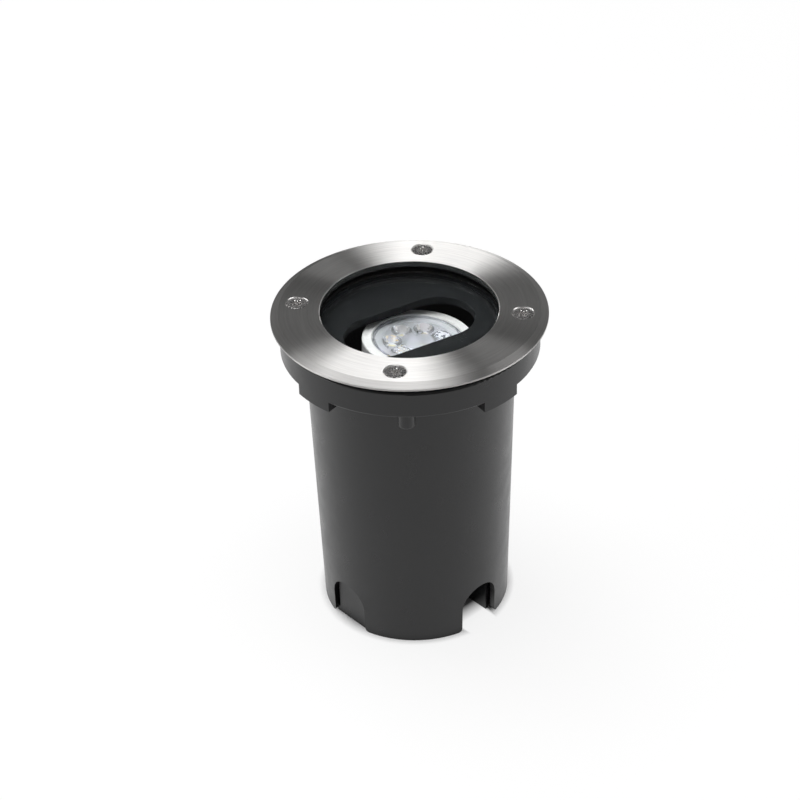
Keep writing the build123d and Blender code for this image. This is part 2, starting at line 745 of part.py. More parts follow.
with BuildPart() as friction_washers:
    for frame in pivot_frames:
        with BuildSketch(frame.offset(ear_outer_face + running_clearance)):
            Circle(friction_washer_radius)
            Circle(pivot_screw_radius + running_clearance, mode=Mode.SUBTRACT)
        extrude(amount=friction_washer_thickness - running_clearance)

# ======================= cradle and lampholder =======================

with BuildPart() as cradle:
    with BuildSketch(lamp_frame.offset(cradle_bottom)):
        RectangleRounded(cradle_width, 2 * ear_outer_face, cradle_thickness)
    extrude(amount=cradle_thickness)
    for side in (-1, 1):
        ear_plane = Plane(origin=(0, 0, pivot_height), x_dir=lamp_cross,
                          z_dir=tuple(part for part in pivot_direction))
        with BuildSketch(ear_plane.offset(side * ear_inner_face)):
            with BuildLine():
                half = cradle_width / 2
                foot = -cradle_bottom
                Line((-half, foot), (half, foot))
                Line((half, foot), (half, foot - cradle_thickness))
                Line((half, foot - cradle_thickness), (arm_width / 2, 0))
                ThreePointArc((arm_width / 2, 0), (0, -arm_width / 2), (-arm_width / 2, 0))
                Line((-arm_width / 2, 0), (-half, foot - cradle_thickness))
                Line((-half, foot - cradle_thickness), (-half, foot))
            make_face()
            Circle(pivot_screw_radius + running_clearance, mode=Mode.SUBTRACT)
        extrude(amount=side * cradle_thickness)
    with BuildSketch(lamp_frame.offset(cradle_bottom)):
        Circle(cradle_wire_hole_radius)
        with Locations((-holder_screw_spread / 2, 0), (holder_screw_spread / 2, 0)):
            Circle(holder_screw_radius + hole_clearance)
    extrude(amount=cradle_thickness, mode=Mode.SUBTRACT)

with BuildPart() as lampholder:
    with BuildSketch(lamp_frame.offset(cradle_top)):
        Circle(holder_radius)
        Rectangle(2 * holder_radius, 2 * holder_flat_distance, mode=Mode.INTERSECT)
    extrude(amount=holder_height)
    fillet(lampholder.faces().sort_by(lamp_axis)[-1].edges(), holder_edge_fillet)
    with BuildSketch(lamp_frame.offset(lamp_seat)):
        with Locations((0, -pin_spacing / 2), (0, pin_spacing / 2)):
            Circle(pin_head_radius + pin_pocket_clearance)
    extrude(amount=-pin_length - pin_pocket_clearance, mode=Mode.SUBTRACT)
    with BuildSketch(lamp_frame.offset(cradle_top)):
        with Locations((-holder_screw_spread / 2, 0), (holder_screw_spread / 2, 0)):
            Circle(holder_screw_radius + fixed_clearance)
    extrude(amount=holder_screw_bite, mode=Mode.SUBTRACT)
    with BuildSketch(lamp_frame.offset(cradle_top)):
        with Locations((0, -lead_spacing / 2), (0, lead_spacing / 2)):
            Circle(lead_radius + fixed_clearance)
    extrude(amount=lead_embed, mode=Mode.SUBTRACT)

with BuildPart() as holder_screws:
    with BuildSketch(lamp_frame.offset(cradle_bottom)):
        with Locations((-holder_screw_spread / 2, 0), (holder_screw_spread / 2, 0)):
            Circle(holder_screw_radius)
    extrude(amount=cradle_thickness + holder_screw_bite - running_clearance)
    with BuildSketch(lamp_frame.offset(cradle_bottom)):
        with Locations((-holder_screw_spread / 2, 0), (holder_screw_spread / 2, 0)):
            Circle(holder_screw_head_radius)
    extrude(amount=-holder_screw_head_height)

# ======================= lamp =======================

with BuildPart() as lamp_base:
    with BuildSketch(lamp_frame.offset(lamp_seat)):
        Circle(lamp_neck_radius)
        Rectangle(2 * lamp_neck_radius, 2 * holder_flat_distance, mode=Mode.INTERSECT)
    extrude(amount=lamp_neck_height)
    with BuildSketch(lamp_frame.offset(lamp_seat)):
        with Locations((0, -pin_spacing / 2), (0, pin_spacing / 2)):
            Circle(pin_neck_radius + fixed_clearance)
    extrude(amount=pin_root, mode=Mode.SUBTRACT)

with BuildPart() as lamp_pins:
    with BuildSketch(lamp_frame.offset(lamp_seat + pin_root)):
        with Locations((0, -pin_spacing / 2), (0, pin_spacing / 2)):
            Circle(pin_neck_radius)
    extrude(amount=-pin_root - pin_length)
    with BuildSketch(lamp_frame.offset(lamp_seat - pin_length)):
        with Locations((0, -pin_spacing / 2), (0, pin_spacing / 2)):
            Circle(pin_head_radius)
    extrude(amount=pin_head_height)

with BuildPart() as lamp_body:
    with BuildSketch(lamp_section):
        with BuildLine():
            Polyline(
                (0, lamp_neck_top),
                (lamp_neck_radius + lamp_wall, lamp_neck_top),
                (lamp_radius, lamp_rim_bottom),
                (lamp_radius, lamp_face_above_pivot),
                (optic_radius, lamp_face_above_pivot),
                (optic_radius, optic_bottom),
                (optic_radius - lamp_wall, optic_bottom),
                (optic_radius - lamp_wall, led_board_top - led_board_thickness),
                (0, led_board_top - led_board_thickness),
                close=True,
            )
        make_face()
    revolve(axis=lamp_axis)
    rim_circles = lamp_body.edges().filter_by(GeomType.CIRCLE).filter_by(
        lambda edge: abs(edge.radius - lamp_radius) < match)
    fillet(rim_circles.sort_by(lamp_axis)[-1], lamp_rim_fillet)
    flare = (lamp_radius - lamp_neck_radius - lamp_wall) / (lamp_rim_bottom - lamp_neck_top)
    cavity_bottom = lamp_neck_top + lamp_wall
    with BuildSketch(lamp_section):
        with BuildLine():
            Polyline(
                (0, cavity_bottom),
                (lamp_neck_radius, cavity_bottom),
                (lamp_neck_radius + flare * (cavity_top - cavity_bottom), cavity_top),
                (0, cavity_top),
                close=True,
            )
        make_face()
    revolve(axis=lamp_axis, mode=Mode.SUBTRACT)

with BuildPart() as driver_board:
    with BuildSketch(lamp_frame.offset(cavity_bottom)):
        Rectangle(driver_width, driver_width)
    extrude(amount=driver_thickness)
    with BuildSketch(lamp_frame.offset(cavity_bottom + driver_thickness)):
        with PolarLocations(driver_part_size, driver_part_count):
            Circle(driver_part_size / 2)
    extrude(amount=driver_part_size)

with BuildPart() as lamp_optic:
    with BuildSketch(lamp_frame.offset(optic_bottom)):
        Circle(optic_radius - fixed_clearance)
    extrude(amount=optic_thickness)
    with BuildSketch(lamp_frame.offset(optic_bottom)):
        with PolarLocations(led_circle_radius, led_count, start_angle=led_first_angle):
            Circle(optic_cup_top_radius)
    cup_slope = (optic_cup_top_radius - optic_cup_bottom_radius) / optic_cup_height
    extrude(amount=-optic_cup_height, taper=degrees(atan(cup_slope)))

with BuildPart() as led_board:
    with BuildSketch(lamp_frame.offset(led_board_top)):
        Circle(optic_radius - lamp_wall - fixed_clearance)
    extrude(amount=-led_board_thickness)

with BuildPart() as led_chips:
    with BuildSketch(lamp_frame.offset(led_board_top)):
        with PolarLocations(led_circle_radius, led_count, start_angle=led_first_angle):
            Rectangle(led_size, led_size)
    extrude(amount=led_height)

# ======================= leads and floating connector =======================


def build_lead(side):
    """One lead from the lampholder's underside down into the connector."""
    lead_plane = Plane(origin=(0, 0, pivot_height), x_dir=pivot_direction,
                       z_dir=lamp_cross)
    near = side * lead_spacing / 2
    far = side * connector_pole_spacing / 2
    with BuildPart() as lead:
        with BuildLine(lead_plane) as route:
            FilletPolyline(
                (near, cradle_top + lead_embed),
                (near, cradle_bottom - lead_drop / 6),
                (far, connector_top + lead_drop / 6),
                (far, connector_top - lead_embed),
                radius=lead_bend_radius,
            )
        with BuildSketch(lamp_frame.offset(cradle_top + lead_embed)):
            with Locations((0, near)):
                Circle(lead_radius)
        sweep(path=route.wires()[0])
    return lead


lead_pair = [build_lead(side) for side in (-1, 1)]
with BuildPart() as holder_leads:
    for lead in lead_pair:
        add(lead.part)

with BuildPart() as connector_block:
    with BuildSketch(lamp_frame.offset(connector_top)):
        Rectangle(connector_width, connector_length)
    extrude(amount=-connector_height)
    fillet(connector_block.edges(), connector_edge_fillet)
    poles = [(0, -connector_pole_spacing / 2), (0, connector_pole_spacing / 2)]
    with BuildSketch(lamp_frame.offset(connector_top)):
        with Locations(*poles):
            Circle(lead_radius + fixed_clearance)
    extrude(amount=-lead_embed, mode=Mode.SUBTRACT)
    connector_front = Plane(origin=lamp_frame.from_local_coords(
        (connector_width / 2, 0, connector_top - connector_height / 2)),
        x_dir=pivot_direction, z_dir=lamp_cross)
    with BuildSketch(connector_front):
        with Locations((-connector_pole_spacing / 2, 0), (connector_pole_spacing / 2, 0)):
            Circle(connector_screw_radius + fixed_clearance)
    extrude(amount=-connector_screw_height, mode=Mode.SUBTRACT)

with BuildPart() as connector_screws:
    with BuildSketch(connector_front):
        with Locations((-connector_pole_spacing / 2, 0), (connector_pole_spacing / 2, 0)):
            Circle(connector_screw_radius)
    extrude(amount=-connector_screw_height)
    with BuildSketch(connector_front):
        with Locations((-connector_pole_spacing / 2, 0), (connector_pole_spacing / 2, 0)):
            Rectangle(connector_slot_width, 2 * connector_screw_radius)
    extrude(amount=-connector_screw_height / 2, mode=Mode.SUBTRACT)

# ======================= labels and files =======================

pieces = {
    "pot": pot,
    "gland_body": gland_body,
    "gland_washer": gland_washer,
    "gland_locknut": gland_locknut,
    "gland_seal": gland_seal,
    "gland_nut": gland_nut,
    "flange_gasket": flange_gasket,
    "glass_gasket": glass_gasket,
    "cover_glass": cover_glass,
    "cover_ring": cover_ring,
    "cover_screws": cover_screws,
    "screw_inserts": screw_inserts,
    "swivel_seat": swivel_seat,
    "baffle": baffle,
    "arm_left": arm_left,
    "arm_right": arm_right,
    "arm_screws": arm_screws,
    "pivot_screws": pivot_screws,
    "pivot_nuts": pivot_nuts,
    "friction_washers": friction_washers,
    "cradle": cradle,
    "lampholder": lampholder,
    "holder_screws": holder_screws,
    "lamp_base": lamp_base,
    "lamp_pins": lamp_pins,
    "lamp_body": lamp_body,
    "lamp_optic": lamp_optic,
    "led_board": led_board,
    "led_chips": led_chips,
    "driver_board": driver_board,
    "holder_leads": holder_leads,
    "connector_block": connector_block,
    "connector_screws": connector_screws,
}

os.makedirs("parts", exist_ok=True)
for name, piece in pieces.items():
    piece.part.label = name
    export_step(piece.part, f"parts/{name}.step")
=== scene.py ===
import json
from math import cos, hypot, pi, radians, sin, sqrt

import bmesh
import bpy
from mathutils import Matrix, Quaternion, Vector


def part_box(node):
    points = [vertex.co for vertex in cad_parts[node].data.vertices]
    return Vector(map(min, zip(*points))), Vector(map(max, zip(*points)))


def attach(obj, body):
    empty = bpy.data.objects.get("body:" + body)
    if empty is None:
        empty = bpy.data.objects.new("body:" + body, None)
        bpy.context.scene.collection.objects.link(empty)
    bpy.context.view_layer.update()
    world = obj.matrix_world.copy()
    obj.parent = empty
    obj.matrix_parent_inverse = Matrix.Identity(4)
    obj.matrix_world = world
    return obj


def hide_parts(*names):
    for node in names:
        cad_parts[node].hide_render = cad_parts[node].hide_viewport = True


# In ground well light: the looks of every surface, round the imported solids.
# Lengths are in metres; MM turns the part's millimetres into them.
MM = 0.001

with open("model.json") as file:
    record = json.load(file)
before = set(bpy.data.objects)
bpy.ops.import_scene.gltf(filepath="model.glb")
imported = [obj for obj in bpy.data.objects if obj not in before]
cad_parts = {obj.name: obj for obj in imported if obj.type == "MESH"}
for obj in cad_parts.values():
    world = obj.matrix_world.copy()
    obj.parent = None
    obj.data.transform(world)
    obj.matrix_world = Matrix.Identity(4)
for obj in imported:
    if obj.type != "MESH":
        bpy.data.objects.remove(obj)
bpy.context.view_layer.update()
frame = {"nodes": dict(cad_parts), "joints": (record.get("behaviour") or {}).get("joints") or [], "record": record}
record = frame["record"]
nodes = frame["nodes"]

# ---- camera, fitted to the photograph ----
PHOTO_SIDE = 800
SENSOR, LENS = 36.0, 95.14  # in millimetres, as Blender takes them
CAMERA_DISTANCE = 952.4 * MM
CAMERA_ELEVATION = radians(36.148)
CAMERA_AZIMUTH = radians(2.75)
CAMERA_ROLL = radians(1.5066)
AIM_HEIGHT = 75.8 * MM
AIM_PIXEL = (413.04, 450.09)

# ---- studio ----
# Brightness by the height of a direction: a white wall low down, a dim band, and dark from
# where the cover glass mirrors it to the camera.
WORLD_STOPS = ((0.02, 0.9), (0.14, 0.26), (0.42, 0.26), (0.49, 0.015))
LIGHT_AIM = (0, 0, 0.1)
SOFTBOXES = (  # name, place, width, depth, power in watts
    ("top", (-0.27, 0.22, 2.3), 1.2, 2.2, 42.0),
    ("left", (-2.4, -0.5, 0.55), 1.8, 0.7, 16.0),
    ("right", (2.4, -0.2, 0.55), 1.6, 0.7, 10.0),
)

# ---- lamp and baffle, as in the solids ----
SWIVEL_ANGLE = radians(32.6)
TILT_ANGLE = radians(4.0)
LAMP_FACE = 59.0 * MM
LAMP_RADIUS = 24.6 * MM
OPTIC_RADIUS = 20.2 * MM
OPTIC_TOP = 58.4 * MM
OPTIC_BOTTOM = 56.0 * MM
LENS_RADIUS = 18.6 * MM
BOARD_TOP = 48.8 * MM
CUP_COUNT = 7
CUP_FIRST_ANGLE = radians(-5.0)
CUP_CIRCLE = 11.6 * MM
CUP_TOP_RADIUS = 4.7 * MM
CUP_BOTTOM_RADIUS = 2.4 * MM
CUP_HEIGHT = 6.4 * MM

# ---- top face of the optic: a sloping dish with a field of beads over each cup ----
LENS_DROP = 0.3 * MM
LENS_SLOPE = 0.04
MIDDLE_RADIUS = 7.4 * MM
BORDER_RADIUS = 15.6 * MM
GROOVE_RADII = (18.95 * MM, 19.5 * MM)
# A ring-shaped mark is left where the plastic entered the mould; its groove is painted dark, as painted shade.
GATE_PLACE = (4.4 * MM, 5.7 * MM)
GATE_RADIUS, GATE_WIDTH, GATE_DEPTH = 1.15 * MM, 0.35 * MM, 0.3 * MM
BEAD_FIELD = 3.3 * MM
BEAD_PITCH = 1.2 * MM
BEAD_RADIUS = 0.66 * MM
BEAD_CROWN = 1.3  # ratio of the squared radii of a bead's sphere and of its foot
# A bead's chance, from 0 to 1, makes it clear, painted dark as shade, or painted pale as a highlight; HASH gives
# the chances.
HASH = (12.9898, 78.233, 43758.5453, 97)
CLEAR_BELOW, HIGHLIGHT_ABOVE, GOLD_CUP_HIGHLIGHT_ABOVE = 0.2, 0.65, 0.55
# Beads over these cups carry a painted gold reflection of the LEDs; those over the dim cups carry a faint one.
GOLD_GLINT_CUPS = (3, 4)
DIM_CUPS = (1, 2)
DIM_LIFT, DIM_PAINTED_GOLD = 0.3, 0.25
# How frosted the optic is at a point: clear at 0 and paler above it, up to the painted highlight at the top; below
# 0 it is painted dark, as painted shade.
PAINTED_SHADE, PAINTED_HALF_SHADE, DIM, DISH, MIDDLE, BORDER, PAINTED_HIGHLIGHT = -1.0, -0.3, 0.25, 0.45, 0.5, 0.75, 1.3

# ---- ring and cover screws ----
RING_BORE = 38.65 * MM
RING_BEVEL = 56.5 * MM
SCREW_FIRST_ANGLE = radians(-94.85)
SCREW_CIRCLE = 49.0 * MM
SCREW_COUNT = 4
SOCKET_LOBES = 6

SMOOTH_ANGLE = radians(32)

# The colour sockets of a Mix node go by number, because several have the same name.
MIX_FIRST, MIX_SECOND, MIX_RESULT = 6, 7, 2


# ======================= node trees =======================

class Nodes:
    """A node tree being made, with short ways to add and join its nodes."""

    def __init__(self, tree):
        self.tree = tree

    def add(self, kind, inputs=(), **settings):
        node = self.tree.nodes.new(kind)
        for key, value in settings.items():
            setattr(node, key, value)
        for key, value in dict(inputs).items():
            self.feed(node.inputs[key], value)
        return node

    def feed(self, socket, value):
        """Joins a socket to another one, or gives it a plain value."""
        if isinstance(value, bpy.types.NodeSocket):
            self.tree.links.new(value, socket)
        else:
            socket.default_value = value

    def mix(self, share, first, second):
        """Goes from one colour to another."""
        first, second = (end if isinstance(end, bpy.types.NodeSocket) else (*end, 1)
                         for end in (first, second))
        node = self.add("ShaderNodeMix", {
            "Factor": share, MIX_FIRST: first, MIX_SECOND: second}, data_type="RGBA")
        return node.outputs[MIX_RESULT]


class Shader(Nodes):
    """A material being made round its Principled node.

    Its plain colour and roughness are what a viewer shows that reads no other nodes.
    """

    def __init__(self, slot, color, roughness, metallic=0.0):
        self.slot = slot
        self.material = bpy.data.materials.new(slot)
        self.material.use_nodes = True
        super().__init__(self.material.node_tree)
        self.bsdf = self.tree.nodes["Principled BSDF"]
        self.output = self.tree.nodes["Material Output"]
        self.set(Base_Color=(*color, 1), Roughness=roughness, Metallic=metallic)
        self.place = self.add("ShaderNodeTexCoord").outputs["Object"]

    def set(self, **sockets):
        """Feeds sockets of the Principled node; an underscore in a name stands for a space."""
        for key, value in sockets.items():
            self.feed(self.bsdf.inputs[key.replace("_", " ")], value)

    def math(self, operation, first, second=0.0):
        return self.add("ShaderNodeMath", {0: first, 1: second}, operation=operation).outputs[0]

    def vector(self, operation, first, second=(0, 0, 0)):
        node = self.add("ShaderNodeVectorMath", {0: first, 1: second}, operation=operation)
        return node.outputs["Value" if operation == "LENGTH" else "Vector"]

    def noise(self, scale, detail=3.0, vector=None):
        return self.add("ShaderNodeTexNoise", {
            "Vector": vector or self.place, "Scale": scale, "Detail": detail}).outputs["Fac"]

    def span(self, value, low, high, to_low=0.0, to_high=1.0):
        """Maps value from low..high to to_low..to_high, and stops at both ends."""
        return self.add("ShaderNodeMapRange", {
            "Value": value, "From Min": low, "From Max": high,
            "To Min": to_low, "To Max": to_high}).outputs["Result"]

    def vary(self, scale, first, second, edges=(0.3, 0.7), detail=3.0):
        """Goes between two values or two colours with a noise, from edge to edge of it."""
        noise = self.noise(scale, detail)
        if isinstance(first, tuple):
            return self.mix(self.span(noise, *edges), first, second)
        return self.span(noise, *edges, first, second)

    def bump(self, height, distance):
        return self.add("ShaderNodeBump", {
            "Height": height, "Distance": distance, "Strength": 1.0}).outputs["Normal"]

    def mix_in(self, share, other):
        """Shows another shader for a share of what is seen."""
        both = self.add("ShaderNodeMixShader", {
            0: share, 1: self.bsdf.outputs[0], 2: other.outputs[0]})
        self.feed(self.output.inputs["Surface"], both.outputs[0])

    def let_lamps_through(self):
        """Rays from lamps pass this surface, so that they reach what is behind the glass."""
        path = self.add("ShaderNodeLightPath")
        self.mix_in(path.outputs["Is Shadow Ray"], self.add("ShaderNodeBsdfTransparent"))


# ======================= materials, one for each slot of the record =======================

def surface(slot, shades, gloss, scales, depth, edges=(0.3, 0.7), details=(3.0, 3.0),
            specular=0.5, metallic=0.0):
    """A surface whose shade, roughness and relief each follow a noise of their own.

    The scales are those three noises', and the details the shade's and the relief's.
    """
    s = Shader(slot, shades[0], gloss[1], metallic)
    s.set(Base_Color=s.vary(scales[0], *shades, edges, details[0]),
          Roughness=s.vary(scales[1], *gloss),
          Specular_IOR_Level=specular,
          Normal=s.bump(s.noise(scales[2], details[1]), depth))
    return s


def scaled(color, factor):
    return tuple(part * factor for part in color)


def moulded(slot, dark, light, gloss, grain=9000.0, depth=0.00002, specular=0.5):
    """Moulded plastic: two close shades, a fine eroded grain and uneven gloss."""
    return surface(slot, (dark, light), gloss, (35.0, 120.0, grain), depth,
                   details=(4.0, 2.0), specular=specular)


def metal(slot, color, gloss, scales=(150.0, 900.0, 1800.0), depth=0.00001,
          details=(3.0, 3.0)):
    """Plain rolled or turned metal with faint mottling."""
    return surface(slot, (scaled(color, 0.82), color), gloss, scales, depth,
                   details=details, metallic=1.0)


def coated(slot, color):
    """Strip steel with a baked black coat: a slight orange peel."""
    return surface(slot, (color, scaled(color, 1.4)), (0.32, 0.45), (80.0, 200.0, 1400.0),
                   0.00003, details=(3.0, 2.0))


def ring_steel():
    """Stainless steel brushed in circles round the pot's axis; its bore is smooth."""
    streak_scales = ((1.6, 1500.0), (5.0, 5200.0))  # along the brushing and across it
    bore_start, blend = RING_BORE + 0.1 * MM, 0.2 * MM
    low, high, bore_roughness = 0.46, 0.54, 0.12
    s = Shader("ring_steel", (0.6, 0.59, 0.575), 0.3, 1.0)
    flat = s.vector("MULTIPLY", s.place, (1, 1, 0))
    radius = s.vector("LENGTH", flat)
    heading = s.vector("NORMALIZE", flat)
    streaks = []
    for along, across in streak_scales:
        spot = s.vector("MULTIPLY", heading, (along, along, 0))
        lift = s.add("ShaderNodeCombineXYZ", {"Z": s.math("MULTIPLY", radius, across)})
        streaks.append(s.noise(1.0, 3.0, s.vector("ADD", spot, lift.outputs[0])))
    both = s.math("MULTIPLY", s.math("ADD", *streaks), 0.5)
    brushed = s.span(radius, bore_start, bore_start + blend)
    brushed_roughness = s.math("MULTIPLY", brushed, s.span(both, 0.3, 0.7, low, high))
    # Painted shade: the outer bevel has a darker colour than the flat top, for the way it faces the light.
    painted_bevel_shade = s.span(radius, RING_BEVEL - blend, RING_BEVEL)
    bright = s.mix(painted_bevel_shade, (0.92, 0.91, 0.895), (0.74, 0.73, 0.72))
    dull = s.mix(painted_bevel_shade, (0.72, 0.71, 0.7), (0.58, 0.57, 0.56))
    s.set(Base_Color=s.mix(s.span(both, 0.3, 0.7), dull, bright),
          Roughness=s.math("ADD", brushed_roughness, s.span(brushed, 0, 1, bore_roughness, 0)),
          Normal=s.bump(both, 0.000006),
          Tangent=s.add("ShaderNodeTangent", direction_type="RADIAL", axis="Z").outputs[0],
          Anisotropic=brushed, Anisotropic_Rotation=0.25)
    return s


def glass(slot, tint, ior, roughness=0.0):
    s = Shader(slot, tint, roughness)
    s.set(Transmission_Weight=1.0, IOR=ior)
    s.let_lamps_through()
    return s


def cover_glass():
    s = glass("cover_glass", (0.985, 0.995, 0.99), 1.5)
    s.set(Base_Color=s.vary(60.0, (0.975, 0.99, 0.985), (0.99, 1, 0.995), (0.4, 0.6)))
    return s


def optic_clear():
    """Clear plastic that each point of the optic's mesh makes frosted, or marks with a painted highlight, painted
    shade or a painted gold reflection of the LEDs.
    """
    s = glass("optic_clear", (0.97, 0.975, 1.0), 1.49, 0.03)
    frost_and_painted_light, painted_gold_glint = (s.add("ShaderNodeAttribute", attribute_name=name).outputs["Fac"]
                     for name in ("frost_and_painted_light", "painted_gold_glint"))
    clear = s.vary(140.0, (0.93, 0.94, 1.0), (0.84, 0.88, 0.9), (0.4, 0.6))
    # Gold is a painted reflection of the LEDs; the dark colour below 0 is painted shade, and the palest level is a
    # painted highlight.
    with_gold_glint = s.mix(painted_gold_glint, clear, (1.0, 0.78, 0.4))
    s.set(Base_Color=s.mix(s.span(frost_and_painted_light, 0.0, PAINTED_SHADE), with_gold_glint, (0.12, 0.13, 0.14)),
          Transmission_Weight=s.span(frost_and_painted_light, 0.0, PAINTED_HIGHLIGHT, 1.0, 0.25))
    return s


def driver_green():
    """Circuit board with a pattern of traces."""
    s = Shader("driver_green", (0.05, 0.2, 0.08), 0.35)
    traces = s.add("ShaderNodeTexBrick", {
        "Vector": s.place, "Scale": 260.0, "Color1": (0.05, 0.2, 0.08, 1),
        "Color2": (0.04, 0.17, 0.07, 1), "Mortar": (0.12, 0.32, 0.14, 1)})
    s.set(Base_Color=traces.outputs["Color"], Roughness=s.vary(800.0, 0.28, 0.42))
    return s


def lead_silicone():
    """Braided glass sleeve over the insulation."""
    s = Shader("lead_silicone", (0.62, 0.6, 0.55), 0.7)
    braid = s.add("ShaderNodeTexWave", {
        "Vector": s.place, "Scale": 500.0, "Distortion": 2.0, "Detail": 2.0},
        bands_direction="DIAGONAL").outputs["Fac"]
    s.set(Base_Color=s.mix(braid, (0.66, 0.64, 0.59), (0.5, 0.48, 0.44)),
          Roughness=s.vary(900.0, 0.6, 0.8),
          Normal=s.bump(braid, 0.0001))
    return s


shaders = (
    moulded("pot_plastic", (0.0072, 0.0072, 0.0078), (0.0098, 0.0098, 0.0105), (0.27, 0.34),
            grain=5200.0, depth=0.000022, specular=0.44),
    ring_steel(),
    metal("screw_steel", (0.9, 0.88, 0.87), (0.2, 0.32), scales=(250.0, 1500.0, 1600.0),
          depth=0.000065, details=(3.0, 1.0)),
    cover_glass(),
    moulded("rubber", (0.006, 0.006, 0.006), (0.01, 0.01, 0.01), (0.62, 0.75),
            depth=0.00004, specular=0.15),
    metal("insert_brass", (0.78, 0.58, 0.27), (0.25, 0.4)),
    moulded("seat_plastic", (0.014, 0.0145, 0.015), (0.018, 0.0185, 0.019), (0.5, 0.6)),
    moulded("baffle_black", (0.0075, 0.0088, 0.0098), (0.009, 0.0105, 0.0117), (0.5, 0.58),
            grain=6000.0, depth=0.000012, specular=0.15),
    coated("arm_steel", (0.016, 0.016, 0.017)),
    metal("fastener_zinc", (0.62, 0.62, 0.6), (0.28, 0.42)),
    moulded("nylon_black", (0.02, 0.02, 0.02), (0.028, 0.028, 0.028), (0.42, 0.52)),
    coated("cradle_steel", (0.018, 0.018, 0.019)),
    surface("holder_ceramic", ((0.84, 0.82, 0.77), (0.74, 0.72, 0.67)), (0.5, 0.7),
            (700.0, 900.0, 3000.0), 0.00004, edges=(0.35, 0.75)),
    moulded("lamp_plastic", (0.9, 0.905, 0.9), (0.94, 0.945, 0.94), (0.24, 0.32),
            grain=4000.0, depth=0.000004),
    metal("pin_nickel", (0.72, 0.7, 0.66), (0.12, 0.22)),
    optic_clear(),
    surface("board_white", ((0.86, 0.86, 0.92), (0.8, 0.8, 0.87)), (0.3, 0.42),
            (250.0, 500.0, 2500.0), 0.000006, edges=(0.4, 0.6)),
    surface("led_phosphor", ((0.95, 0.82, 0.4), (0.87, 0.74, 0.32)), (0.3, 0.5),
            (2500.0, 1800.0, 4000.0), 0.00002, edges=(0.35, 0.65), details=(2.0, 3.0)),
    driver_green(),
    lead_silicone(),
    moulded("connector_nylon", (0.72, 0.72, 0.7), (0.8, 0.8, 0.78), (0.35, 0.45)),
)
materials = {shader.slot: shader.material for shader in shaders}
slot_of = {entry["node"]: entry["material_slot"] for entry in record["subparts"]}
for name, node in nodes.items():
    for place in node.material_slots:
        place.material = materials[slot_of[name]]


# ======================= meshes =======================

def finish_mesh(name, mesh, node):
    """Makes a bmesh an object that replaces a solid and takes its body and its slot."""
    bmesh.ops.recalc_face_normals(mesh, faces=mesh.faces)
    for face in mesh.faces:
        face.smooth = True
    for edge in mesh.edges:
        if len(edge.link_faces) == 2 and edge.calc_face_angle() > SMOOTH_ANGLE:
            edge.smooth = False
    data = bpy.data.meshes.new(name)
    mesh.to_mesh(data)
    mesh.free()
    piece = bpy.data.objects.new(name, data)
    bpy.context.scene.collection.objects.link(piece)
    data.materials.append(materials[slot_of[node]])
    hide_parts(node)
    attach(piece, next(body for body, members in record["behaviour"]["bodies"].items()
                        if node in members))
    return piece


def circle(mesh, place, count, radius, height, lobe=0.0):
    """A closed row of points round the Z axis of place, or one point if the radius is 0."""
    if radius == 0:
        return [mesh.verts.new(place @ Vector((0, 0, height)))]
    row = []
    for k in range(count):
        angle = 2 * pi * k / count
        reach = radius + lobe * cos(SOCKET_LOBES * angle)
        row.append(mesh.verts.new(place @ Vector((
            reach * cos(angle), reach * sin(angle), height))))
    return row


def join_rows(mesh, rows):
    """Joins each closed row of points to the next; a row may be a single point."""
    for first, second in zip(rows, rows[1:]):
        count = max(len(first), len(second))
        for k in range(count):
            after = (k + 1) % count
            loop = []
            for corner in (first[k % len(first)], first[after % len(first)],
                           second[after % len(second)], second[k % len(second)]):
                if corner not in loop:
                    loop.append(corner)
            if len(loop) > 2:
                mesh.faces.new(loop)


def lathe(mesh, profile, count, place):
    """Turns a profile of (radius, height) or (radius, height, lobe) round the Z axis of place."""
    join_rows(mesh, [circle(mesh, place, count, *point) for point in profile])


def arc(centre_radius, centre_height, radius, start, stop, steps=5):
    """Points of an arc in the profile plane, angles in degrees from the outward radius."""
    return [(centre_radius + radius * cos(radians(start + (stop - start) * k / steps)),
             centre_height + radius * sin(radians(start + (stop - start) * k / steps)))
            for k in range(steps + 1)]


# The lamp's own frame: its origin on the tilt pivot, its Z along the lamp's axis.
tilt = next(joint for joint in frame["joints"] if joint["name"] == "lamp_tilt")
slot_heading = Vector((cos(SWIVEL_ANGLE), sin(SWIVEL_ANGLE), 0))
pivot_heading = Vector((-sin(SWIVEL_ANGLE), cos(SWIVEL_ANGLE), 0))
lamp_up = slot_heading * sin(TILT_ANGLE) + Vector((0, 0, cos(TILT_ANGLE)))
lamp_cross = pivot_heading.cross(lamp_up)
lamp_frame = Matrix((
    (lamp_cross.x, pivot_heading.x, lamp_up.x, tilt["pos_m"][0]),
    (lamp_cross.y, pivot_heading.y, lamp_up.y, tilt["pos_m"][1]),
    (lamp_cross.z, pivot_heading.z, lamp_up.z, tilt["pos_m"][2]),
    (0, 0, 0, 1)))
cup_centres = [(CUP_CIRCLE * cos(CUP_FIRST_ANGLE + 2 * pi * k / CUP_COUNT),
                CUP_CIRCLE * sin(CUP_FIRST_ANGLE + 2 * pi * k / CUP_COUNT))
               for k in range(CUP_COUNT)]


